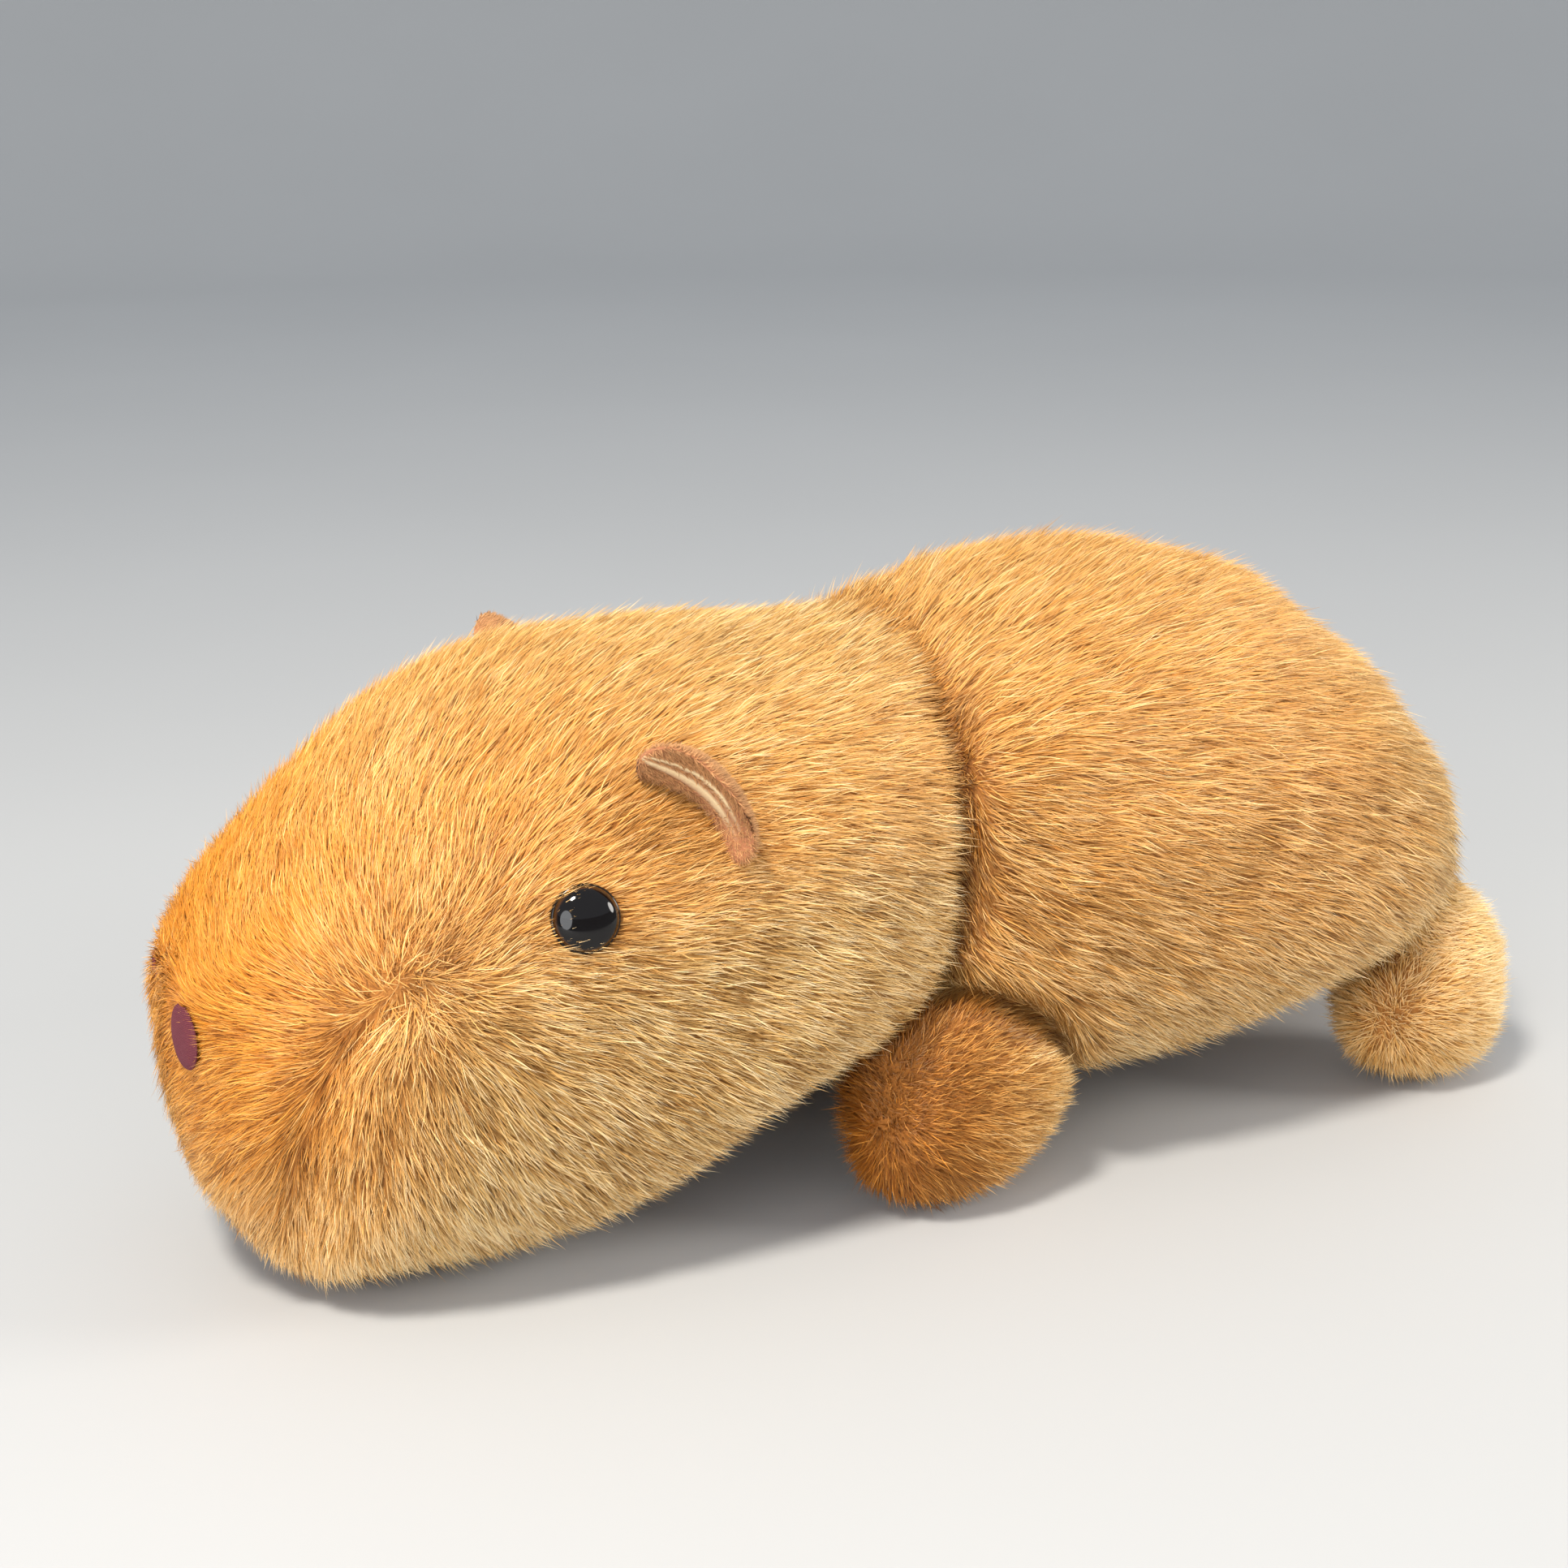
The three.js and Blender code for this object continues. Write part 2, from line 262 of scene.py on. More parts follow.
class Shader:
    """A material under construction, with short ways to add and join its nodes."""

    def __init__(self, name):
        self.material = bpy.data.materials.new(name)
        self.material.use_nodes = True
        self.nodes = self.material.node_tree.nodes
        self.surface = self.nodes["Principled BSDF"]

    def add(self, kind, **settings):
        """A new node, with each setting put on the node itself or on its input of that name."""
        node = self.nodes.new(kind)
        for key, value in settings.items():
            if hasattr(node, key):
                setattr(node, key, value)
            else:
                node.inputs[key.replace("_", " ")].default_value = value
        return node

    def join(self, source, target):
        self.material.node_tree.links.new(source, target)

    def set(self, **settings):
        for key, value in settings.items():
            self.surface.inputs[key.replace("_", " ")].default_value = value

    def ramp(self, source, *stops):
        """A colour ramp whose stops are (position, (r, g, b))."""
        ramp = self.add("ShaderNodeValToRGB")
        elements = ramp.color_ramp.elements
        while len(elements) < len(stops):
            elements.new(0.5)
        for element, (position, colour) in zip(elements, stops):
            element.position = position
            element.color = (*colour, 1)
        self.join(source, ramp.inputs["Fac"])
        return ramp.outputs["Color"]

    def mix(self, amount, first, second, blend="MIX"):
        """Two colours mixed, where each value is a plain one or another node's output."""
        node = self.add("ShaderNodeMix", data_type="RGBA", blend_type=blend)
        for value, index in ((amount, 0), (first, 6), (second, 7)):
            if hasattr(value, "links"):
                self.join(value, node.inputs[index])
            elif index:
                node.inputs[index].default_value = (*value, 1)
            else:
                node.inputs[index].default_value = value
        return node.outputs[2]

    def attribute(self, name):
        return self.add("ShaderNodeAttribute", attribute_name=name).outputs["Fac"]

    def noise(self, scale, detail=3.0):
        coordinates = self.add("ShaderNodeTexCoord")
        noise = self.add("ShaderNodeTexNoise", Scale=scale, Detail=detail)
        self.join(coordinates.outputs["Object"], noise.inputs["Vector"])
        return noise.outputs["Fac"]

    def bump(self, height, strength, distance):
        bump = self.add("ShaderNodeBump", Strength=strength, Distance=distance)
        self.join(height, bump.inputs["Height"])
        self.join(bump.outputs["Normal"], self.surface.inputs["Normal"])


ROOT_WARM = (0.54, 0.180, 0.022)
ROOT_PALE = (0.50, 0.245, 0.070)
PILE_WARM = (0.83, 0.285, 0.026)
PILE_PALE = (0.79, 0.455, 0.140)
TIP_WARM = (0.93, 0.380, 0.050)
TIP_PALE = (0.95, 0.67, 0.30)
HEAD_END = 0.195
# How warm each paw is at its toes, and how much less at its heel.
PAW_WARMTH = {"front_paw": (0.95, 0.95), "hind_foot": (0.45, 0.5)}


def rising(values, first, last):
    """Nought up to the first value, one from the last value on, and straight in between."""
    return np.clip((values - first) / (last - first), 0, 1)


def after(values, middle, softness):
    """Nought well before the middle value and one well after it."""
    return 1 / (1 + np.exp(-(values - middle) / softness))


def from_toes(points, paw):
    """The share of a paw's length from its toes to each point."""
    low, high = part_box(f"{paw}_left")
    return (points[:, 1] - low.y) / (high.y - low.y)


def warmth(points, nodes):
    """How orange the pile is: most on the muzzle, least low on the flanks and cheeks."""
    from_nose = points[:, 1] - NOSE_Y
    height = points[:, 2]
    on_head = from_nose < HEAD_END
    warm = 1 - 0.85 * after(from_nose, 0.045, 0.010) * after(-height, -0.098, 0.012) * on_head
    warm -= 0.50 * after(from_nose, 0.205, 0.012) * after(-height, -0.055, 0.014)
    warm -= 0.45 * rising(from_nose, 0.30, 0.38)
    warm -= 0.24 * rising(from_nose, 0.02, 0.06)
    warm -= 0.28 * rising(from_nose, 0.08, 0.15)
    warm -= 0.25 * rising(height, 0.12, 0.15) * on_head
    warm -= 0.50 * rising(height, 0.060, 0.020) * after(-from_nose, -0.05, 0.008)
    for paw, (toe_warmth, change) in PAW_WARMTH.items():
        on_paw = np.char.startswith(nodes, paw)
        warm = np.where(on_paw, toe_warmth - change * from_toes(points, paw), warm)
    return np.clip(warm, 0, 1)


def set_attribute(mesh, name, values):
    """Stores one value for every vertex, for the materials to read."""
    layer = mesh.attributes.new(name, "FLOAT", "POINT")
    layer.data.foreach_set("value", np.asarray(values, np.float32))


fabric_points = vertex_array(fabric.data, "co")
fabric_nodes, fabric_gaps = node_gaps(fabric_points)
fabric_furrow = furrow(fabric_points, fabric_gaps, FURROW_WIDE)
set_attribute(fabric.data, "warmth", warmth(fabric_points, fabric_nodes))
set_attribute(fabric.data, "furrow", fabric_furrow)
fabric_shader = Shader("fur fabric backing")
fabric_shader.set(Roughness=0.95)
backing = fabric_shader.mix(fabric_shader.attribute("warmth"), ROOT_PALE, ROOT_WARM)
backing = fabric_shader.mix(fabric_shader.noise(900.0), backing, (0.42, 0.16, 0.030))
# The backing is darkened along the seams of neck and paws: painted shade in the furrows.
backing = fabric_shader.mix(fabric_shader.attribute("furrow"), backing, (0.20, 0.065, 0.012))
fabric_shader.join(backing, fabric_shader.surface.inputs["Base Color"])
fabric_shader.bump(fabric_shader.noise(1400.0), 0.6, 0.001)
fabric.data.materials.append(fabric_shader.material)
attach(fabric, "root")
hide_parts(*FLESH)


# Pile
# The faux fur's pile is dense, fine and about a centimetre long. It is brushed back from a whorl
# beside the mouth, parts along the crease of the muzzle, and is clipped short round eyes and nose.
# Its tufts are thin closed spikes: a short under layer, a longer top layer and bent guard hairs.
rng = np.random.default_rng(7)
UNDER_TUFTS = 122000
TOP_TUFTS = 174000
GUARD_HAIRS = 24000
PILE_LENGTH = {"head": 0.0098, "body": 0.0112, "paw": 0.0070}
CLIPPED_OFF = 0.62
ROOT_SUNK = 0.0004
TIP_LOWEST = 0.0003
# The pile gathers in fingers of five tufts, whose tips are drawn towards one tip when it is close.
FINGER_TUFTS = 5
FINGER_PULL = 0.18
FINGER_REACH = 3 * 0.0014
# How far single tufts turn aside, stand up and differ in tone. Angles are in radians.
SWAY_EACH = 0.20
LIFT_EACH = 0.13
LIFT_LIMITS = (-0.3, 0.18)
PAW_LIFT = 0.32
EYE_LIFT = 0.45
SPREAD_ABOVE = 0.24
SPREAD_ASIDE = 0.29
SPREAD_FOREHEAD = -0.14
FOREHEAD_PLACE = place(0, 24, 100)

# How the pile lies: a place on the left side (x, from the nose, z) and the way the tips point.
FRONT_LIE = [
    ((50, 31, 79), (-0.55, -0.8, 0.05)),
    ((45, 20, 60), (-0.6, -0.65, -0.35)),
    ((42, 17, 44), (-0.5, -0.45, -0.75)),
    ((36, 17, 28), (-0.35, -0.25, -0.9)),
    ((30, 17, 12), (-0.2, 0.0, -1.0)),
    ((26, 6, 62), (-0.7, -0.25, -0.6)),
    ((12, 3, 72), (-0.4, 0.0, -0.6)),
    ((46, 24, 92), (-0.6, -0.7, 0.35)),
]
REAR_LIE = [
    ((56, 44, 80), (0.05, -0.4, -0.9)),
    ((53, 33, 60), (-0.05, -0.2, -0.95)),
    ((48, 28, 38), (-0.1, 0.1, -1.0)),
    ((60, 51, 66), (0.1, 0.2, -0.95)),
    ((64, 62, 60), (0.1, 0.6, -0.75)),
    ((62, 60, 40), (-0.05, 0.5, -0.85)),
    ((63, 60, 84), (0.1, 0.88, -0.4)),
    ((45, 56, 14), (-0.1, 0.5, -0.85)),
]
BODY_LIE = [
    ((46, 30, 104), (-0.5, -0.1, 0.85)),
    ((56, 50, 108), (-0.35, 0.35, 0.85)),
    ((64, 66, 100), (-0.1, 0.8, 0.55)),
    ((16, 6, 90), (-0.3, -0.05, 0.9)),
    ((20, 16, 104), (-0.25, 0.25, 0.9)),
    ((0, 34, 124), (0.0, 0.6, 0.8)),
    ((0, 74, 148), (0.0, 0.9, 0.35)),
    ((52, 62, 118), (-0.35, 0.45, 0.8)),
    ((70, 82, 84), (0.05, 0.95, -0.25)),
    ((60, 92, 128), (-0.15, 0.85, 0.45)),
    ((74, 104, 96), (0.0, 0.98, 0.1)),
    ((74, 96, 72), (0.05, 0.9, -0.4)),
    ((64, 92, 34), (-0.1, 0.8, -0.6)),
    ((0, 110, 156), (0.0, 1.0, 0.05)),
    ((62, 156, 124), (0.15, 0.93, -0.25)),
    ((74, 172, 84), (0.0, 0.88, -0.45)),
    ((0, 200, 152), (0.0, 1.0, 0.05)),
    ((0, 270, 162), (0.0, 1.0, 0.0)),
    ((80, 262, 92), (0.0, 0.95, -0.3)),
    ((70, 280, 42), (0.0, 0.9, -0.45)),
    ((40, 330, 120), (0.0, 0.85, -0.5)),
    ((66, 345, 70), (0.0, 0.75, -0.65)),
    ((20, 376, 80), (0.0, 0.4, -0.9)),
    ((0, 280, 15), (0.0, 1.0, 0.0)),
    ((0, 80, 0), (0.0, 1.0, 0.0)),
]
PAW_WHORLS = {"front_paw": place(57, 166, 28), "hind_foot": place(60, 331, 23)}
STROKE_CORE = 0.004
PARTING_SHARP = 0.0012
WHORL_WIDE = 0.008
WHORL_STRAY = 0.014
PAW_STRAY = 0.013
# The hind foot's own lie gives way to the body's between these heights.
HOCK_FROM = 0.036
HOCK_RISE = 0.012


def lie_from(strokes, points):
    """The way the pile lies at each point, from the brush strokes round it."""
    total = np.zeros_like(points)
    for spot, way in strokes:
        gap = np.linalg.norm(points - place(*spot), axis=1)
        total += unit(np.array(way, float)) / (gap[:, None] ** 2 + STROKE_CORE**2) ** 1.25
    return unit(total)


def lie_of_pile(points, normals, nodes):
    """Unit tangents along which the tips point."""
    folded = mirrored(points)
    parting = np.interp(folded[:, 2], PARTING[::-1, 2], PARTING[::-1, 1])
    behind = 1 / (1 + np.exp(-(folded[:, 1] - parting) / PARTING_SHARP))[:, None]
    front = lie_from(FRONT_LIE + BODY_LIE, folded)
    rear = lie_from(REAR_LIE + BODY_LIE, folded)
    lie = front + (rear - front) * behind
    away = folded - WHORL_PLACE
    whorl = np.exp(-((np.linalg.norm(away, axis=1) / WHORL_WIDE) ** 2))[:, None]
    stray = rng.normal(0, 0.5, lie.shape) * near(points, WHORL_PLACE, WHORL_STRAY)[:, None]
    lie += unit(away) * whorl * 0.5 + stray
    for name, hub in PAW_WHORLS.items():
        on_paw = np.char.startswith(nodes, name)[:, None]
        radial = unit(folded - hub) + np.array((0.05, 0.14, 0.10))
        radial += rng.normal(0, 0.6, lie.shape) * near(points, hub, PAW_STRAY)[:, None]
        high = np.clip((folded[:, 2:] - HOCK_FROM) / HOCK_RISE, 0, 1) * (name == "hind_foot")
        lie = np.where(on_paw, radial * (1 - high) + lie * high, lie)
    lie[:, 0] *= np.where(points[:, 0] < 0, -1, 1)
    lie -= normals * np.sum(lie * normals, axis=1, keepdims=True)
    return unit(lie)


fabric.data.calc_loop_triangles()
corner_index = vertex_array(fabric.data, "vertices", 3, "loop_triangles").astype(int)
corners = fabric_points[corner_index]
corner_normals = vertex_array(fabric.data, "normal")[corner_index]
across = np.cross(corners[:, 1] - corners[:, 0], corners[:, 2] - corners[:, 0])
triangle_area = np.linalg.norm(across, axis=1)
triangle_middle = corners.mean(axis=1)
EAR_ROOT = [place(54, 110, 138), place(69, 132, 114)]


def clipped(points):
    """How short the pile is clipped: fully round the nostrils, less at muzzle, eyes and ears."""
    eye = near(points, EYE_PLACE, 0.016)
    left = np.linalg.norm(points - NOSTRIL_SEATS["left"], axis=1)
    right = np.linalg.norm(points - NOSTRIL_SEATS["right"], axis=1)
    nostril = np.exp(-((left / 0.0095) ** 2)) + 0.35 * np.exp(-((right / 0.006) ** 2))
    muzzle = near(points, place(0, 0, 75), 0.06) * 0.48
    ear = 0.75 * np.exp(-((from_line(points, EAR_ROOT) / 0.009) ** 2))
    return np.clip(0.4 * eye + nostril + muzzle + ear, 0, 1)


# The pile is sparser on the undersides, denser where it is clipped, and leaves the trim bare.
UNDERSIDE_SHARE = 0.45
EYE_BARE = 0.0072
NOSTRIL_BARE = {"left": 0.0070, "right": 0.0042}
shown = np.where(corner_normals.mean(axis=1)[:, 2] < -0.75, UNDERSIDE_SHARE, 1.0)
chance = triangle_area * shown * (1 + 0.9 * clipped(triangle_middle))
chance *= np.linalg.norm(mirrored(triangle_middle) - EYE_PLACE, axis=1) > EYE_BARE
for side, radius in NOSTRIL_BARE.items():
    chance *= np.linalg.norm(triangle_middle - NOSTRIL_SEATS[side], axis=1) > radius
chance /= chance.sum()

triangle_node = fabric_nodes[corner_index[:, 0]]
corner_furrow = fabric_furrow[corner_index]


def root_tufts(count):
    """Roots spread over the fabric: their places, normals, flesh node and nearness to a furrow."""
    chosen = rng.choice(len(chance), size=count, p=chance)
    share = rng.random((count, 2))
    share = np.where(share.sum(axis=1, keepdims=True) > 1, 1 - share, share)
    weights = np.column_stack((1 - share.sum(axis=1), share))[:, :, None]
    roots = (corners[chosen] * weights).sum(axis=1)
    normals = unit((corner_normals[chosen] * weights).sum(axis=1))
    furrows = (corner_furrow[chosen] * weights[:, :, 0]).sum(axis=1)
    return roots, normals, triangle_node[chosen], furrows


def gathered(start, tip):
    """The tips with their fingers gathered, and a number for each tuft that its finger shares."""
    count = len(start)
    fingers = count // FINGER_TUFTS
    centres = KDTree(fingers)
    picked = rng.choice(count, fingers, replace=False)
    for i, root in enumerate(start[picked]):
        centres.insert(root, i)
    centres.balance()
    number = np.array([centres.find(Vector(root))[1] for root in start])
    finger_shade = rng.normal(size=fingers)
    pull = tip[picked[number]] - tip
    reach = np.linalg.norm(pull, axis=1, keepdims=True)
    return tip + pull * FINGER_PULL * (reach < FINGER_REACH), finger_shade[number]


def grow(count, length_scale, width, root_lift, tip_lift, tone):
    """Grows one layer of the pile: the points of each tuft's bent middle line, and its facts."""
    roots, normals, nodes, furrows = root_tufts(count)
    lie = lie_of_pile(roots, normals, nodes)
    side = np.cross(normals, lie)
    on_paw = np.char.find(nodes, "_") > 0
    sway = 0.13 * ripple(roots, 0.018, 11) + 0.09 * ripple(roots, 0.007, 12)
    sway += rng.normal(0, SWAY_EACH, count) * np.where(on_paw, 2, 1)
    lie = unit(lie + side * sway[:, None])
    base = np.where(nodes == "body", PILE_LENGTH["body"], PILE_LENGTH["head"])
    base = np.where(on_paw, PILE_LENGTH["paw"], base)
    length = base * (1 - CLIPPED_OFF * clipped(roots)) * (1 - 0.5 * furrows) * length_scale
    length *= rng.uniform(0.75, 1.15, count) * (1 + 0.07 * ripple(roots, 0.012, 13))
    lift = np.clip(rng.normal(0, LIFT_EACH, count), *LIFT_LIMITS)
    lift += 0.06 * ripple(roots, 0.014, 14) + 0.30 * furrows
    lift += PAW_LIFT * on_paw + EYE_LIFT * near(roots, EYE_PLACE, 0.011)
    # Tone spreads wider where the fabric faces sideways or down, which paints more gap shade and
    # glints there.
    spread = SPREAD_ABOVE + SPREAD_ASIDE * np.clip(1 - 2 * normals[:, 2], 0, 1)
    spread += SPREAD_FOREHEAD * near(roots, FOREHEAD_PLACE, 0.075)
    spread *= np.where(on_paw, 0.6, 1)
    shade = tone + 0.75 * spread * rng.normal(size=count) + 0.08 * ripple(roots, 0.02, 15)
    # The front paw is darkened most at its toes: a painted shadow of the head falling on it.
    head_shadow_on_paw = 0.76 - 0.95 * from_toes(roots, "front_paw")
    shade -= head_shadow_on_paw * np.char.startswith(nodes, "front_paw")
    # The hind foot is brightened all over: painted light falling on it.
    shade += 0.42 * np.char.startswith(nodes, "hind_foot")
    # The low front of the muzzle, which faces down, is brightened: painted light on its underside.
    shade += 0.38 * rising(roots[:, 2], 0.060, 0.020) * (roots[:, 1] - NOSE_Y < 0.080)
    start = roots - normals * ROOT_SUNK
    angle = (root_lift + lift)[:, None]
    middle = start + length[:, None] * 0.5 * (lie * np.cos(angle) + normals * np.sin(angle))
    angle = (tip_lift + lift)[:, None]
    tip = middle + length[:, None] * 0.5 * (lie * np.cos(angle) + normals * np.sin(angle))
    tip, finger_shade = gathered(start, tip)
    for line in (middle, tip):
        line[:, 2] = np.maximum(line[:, 2], TIP_LOWEST)
    return {
        "start": start,
        "middle": middle,
        "tip": tip,
        "side": unit(np.cross(normals, tip - start)),
        "normal": normals,
        "tilt": rng.normal(0, 0.20, (count, 3)),
        "width": width * rng.uniform(0.8, 1.25, count) * (1 - 0.3 * clipped(roots)),
        # Tufts in the seams' furrows are darkened: painted shade in the furrows.
        "tone": np.clip(shade + 0.8 * spread * finger_shade - 0.6 * furrows, 0, 1),
        "warmth": np.clip(warmth(roots, nodes) + 0.12 * rng.normal(size=count), 0, 1),
        "node": nodes,
    }


def unwrap(points, hub):
    """A spherical unwrap of a rounded piece about its middle, with its poles at nose and rump."""
    away = points - hub
    around = np.arctan2(away[:, 0], away[:, 2]) / (2 * math.pi) + 0.5
    along = np.arccos(np.clip(unit(away)[:, 1], -1, 1)) / math.pi
    return np.column_stack((around, along))


SPIKE_FACES = [(0, 1, 3), (1, 2, 3), (2, 0, 3), (0, 2, 1)]
BENT_FACES = [(0, 1, 4), (0, 4, 3), (1, 2, 5), (1, 5, 4), (2, 0, 3)]
BENT_FACES += [(2, 3, 5), (3, 4, 6), (4, 5, 6), (5, 3, 6), (0, 2, 1)]
PATCH = 0.003


def tuft_rings(layer, rows, bent):
    """The corners, shading directions, rise towards the tip and bake patch of each chosen tuft."""
    rings = [("start", 0.0, 1.0)] + ([("middle", 0.5, 0.8)] if bent else [])
    up = layer["normal"][rows] + layer["tilt"][rows]
    facing = []
    points = []
    rise = []
    patch = []
    for name, share, thickness in rings:
        for k in range(3):
            turn = 2 * math.pi * k / 3
            across = layer["side"][rows] * math.cos(turn) + layer["normal"][rows] * math.sin(turn)
            spread = (layer["width"][rows] * thickness / 2)[:, None]
            points.append(layer[name][rows] + across * spread)
            facing.append(unit(up + 0.6 * across))
            rise.append(share)
            patch.append(((k - 1) * PATCH / 2, share * PATCH))
    points.append(layer["tip"][rows])
    facing.append(unit(up + 0.3 * unit(layer["tip"][rows] - layer["start"][rows])))
    rise.append(1.0)
    patch.append((0.0, PATCH))
    return np.stack(points, axis=1), np.stack(facing, axis=1), np.array(rise), np.array(patch)


def coat_piece(name, layers, choose, hub):
    """Makes one piece of the coat from the tufts that it takes of each layer."""
    kinds = ("points", "facing", "faces", "rise", "tone", "warmth", "patch")
    parts = {kind: [] for kind in kinds}
    offset = 0
    for layer, bent in layers:
        rows = np.flatnonzero(choose(layer))
        points, facing, rise, patch = tuft_rings(layer, rows, bent)
        corners_each = points.shape[1]
        faces = np.array(BENT_FACES if bent else SPIKE_FACES)
        firsts = offset + np.arange(len(rows)) * corners_each
        parts["faces"].append((faces[None] + firsts[:, None, None]).reshape(-1, 3))
        parts["points"].append(points.reshape(-1, 3))
        parts["facing"].append(facing.reshape(-1, 3))
        parts["rise"].append(np.tile(rise, len(rows)))
        parts["tone"].append(np.repeat(layer["tone"][rows], corners_each))
        parts["warmth"].append(np.repeat(layer["warmth"][rows], corners_each))
        rooted = unwrap(layer["start"][rows], hub)
        parts["patch"].append((rooted[:, None] + patch[None]).reshape(-1, 2))
        offset += len(rows) * corners_each
    joined = [np.concatenate(parts[kind]) for kind in kinds]
    points, facing, faces, rise, tone, warm, patch = joined
    mesh = bpy.data.meshes.new(name)
    mesh.vertices.add(len(points))
    mesh.vertices.foreach_set("co", points.astype(np.float32).ravel())
    mesh.loops.add(faces.size)
    mesh.loops.foreach_set("vertex_index", faces.astype(np.int32).ravel())
    mesh.polygons.add(len(faces))
    mesh.polygons.foreach_set("loop_start", np.arange(0, faces.size, 3, dtype=np.int32))
    mesh.update(calc_edges=True)
    mesh.shade_smooth()
    mesh.normals_split_custom_set_from_vertices(facing.tolist())
    for attribute, values in (("rise", rise), ("tone", tone), ("warmth", warm)):
        set_attribute(mesh, attribute, values)
    bake_map = mesh.uv_layers.new(name="OFBake")
    bake_map.data.foreach_set("uv", patch[faces.ravel()].astype(np.float32).ravel())
    piece = bpy.data.objects.new(name, mesh)
    bpy.context.scene.collection.objects.link(piece)
    return piece


pile_shader = Shader("golden tan pile")
pile_shader.set(Roughness=0.38, Specular_IOR_Level=0.6, Specular_Tint=(1.0, 0.84, 0.55, 1.0))
rise = pile_shader.attribute("rise")
warm_pile = pile_shader.ramp(rise, (0.0, ROOT_WARM), (0.45, PILE_WARM), (1.0, TIP_WARM))
pale_pile = pile_shader.ramp(rise, (0.0, ROOT_PALE), (0.45, PILE_PALE), (1.0, TIP_PALE))
pile_colour = pile_shader.mix(pile_shader.attribute("warmth"), pale_pile, warm_pile)
# Tone varies at random from tuft to tuft. The ramp's dark end also paints shade in the gaps of the
# pile, and its bright bluish-white top paints glints.
tone_gap_shade_glints = pile_shader.ramp(
    pile_shader.attribute("tone"),
    (0.0, (0.42, 0.33, 0.23)),
    (0.45, (0.92, 0.88, 0.82)),
    (0.85, (1.10, 1.14, 1.2)),
    (1.0, (1.25, 1.50, 2.2)),
)
pile_colour = pile_shader.mix(1.0, pile_colour, tone_gap_shade_glints, "MULTIPLY")
pile_shader.join(pile_colour, pile_shader.surface.inputs["Base Color"])

under_layer = grow(UNDER_TUFTS, 0.80, 0.00058, 0.42, 0.42, 0.40)
top_layer = grow(TOP_TUFTS, 1.0, 0.00035, 0.44, 0.44, 0.55)
# The guard hairs start high on the tone ramp, so many of them carry its painted glints.
guard_hairs = grow(GUARD_HAIRS, 1.12, 0.00030, 0.62, 0.34, 0.88)

# The coat is made in panels that join at the middle of the back and at rings across head and body.
PANEL_CUTS = {"head": (-1.0, 0.074, 0.126, 1.0), "body": (-1.0, 0.248, 0.306, 1.0)}
PANEL_NAMES = ("front", "middle", "rear")


def panel(node, side, first, last):
    """Chooses the tufts of one panel of the head or the body."""

    def choose(layer):
        from_nose = layer["start"][:, 1] - NOSE_Y
        left = layer["start"][:, 0] >= 0
        inside = (from_nose >= first) & (from_nose < last)
        return (layer["node"] == node) & (left == (side == "left")) & inside

    return choose


def whole(node):
    """Chooses all the tufts of one paw."""

    def choose(layer):
        return layer["node"] == node

    return choose


coat = []
coat_layers = [(under_layer, False), (top_layer, False), (guard_hairs, True)]
for node, cuts in PANEL_CUTS.items():
    hub = node_middle(node)
    for side in ("left", "right"):
        for name, first, last in zip(PANEL_NAMES, cuts[:-1], cuts[1:]):
            choose = panel(node, side, first, last)
            coat.append(coat_piece(f"coat_{node}_{side}_{name}", coat_layers, choose, hub))
for node in FLESH[2:]:
    coat.append(coat_piece(f"coat_{node}", coat_layers, whole(node), node_middle(node)))
for piece in coat:
    piece.data.materials.append(pile_shader.material)
    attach(piece, "root")


# Ears
# Each ear is a short folded flap of pinkish brown velvet with a thin nap. Its rim is turned in
# along a seam whose pale backing shows as a double line, and its ends run into the head. The right
# ear stands a little taller.
EAR_FRONT, EAR_BACK = EAR_ROOT
EAR_STANDS = np.array((0.5, 0.1, 0.85))
EAR_REACH = {"left": 0.0155, "right": 0.0185}
EAR_SUNK = 0.009
EAR_THICKNESS = 0.0078
EAR_CURL = 0.0068
EAR_CUP = 0.006
EAR_HOLLOW = 0.0042
EAR_TAPER = 0.16
EAR_THINS = 0.15
EAR_NAP = 0.0017
EAR_TUFTS = 12000
SEAM_LINES = (-1.60, -1.32)
SEAM_WIDE = 0.075


def ear_point(u, v, w, rim):
    """A place on the left ear: u along the root, v out to its rim and w through the flap."""
    along = unit(EAR_BACK - EAR_FRONT)
    outward = unit(EAR_STANDS - along * (EAR_STANDS @ along))
    over = np.cross(outward, along)
    root = (EAR_FRONT + EAR_BACK) / 2
    half_root = np.linalg.norm(EAR_BACK - EAR_FRONT) / 2 - 0.0004
    bend = EAR_CURL * np.maximum(0, v) ** 2 + EAR_CUP * (u**2 - 0.4)
    hollow = EAR_HOLLOW * np.maximum(0, -w) ** 0.5 * (1 - u**2) * (1 - np.maximum(0, v) ** 6)
    tall = rim * (1 - EAR_TAPER * u)
    reach = (tall - EAR_SUNK) / 2 + (tall + EAR_SUNK) / 2 * v
    lift = EAR_THICKNESS / 2 * (1 - EAR_THINS * u) * w - bend + hollow
    return root + along * (half_root * u)[:, None] + outward * reach[:, None] + over * lift[:, None]


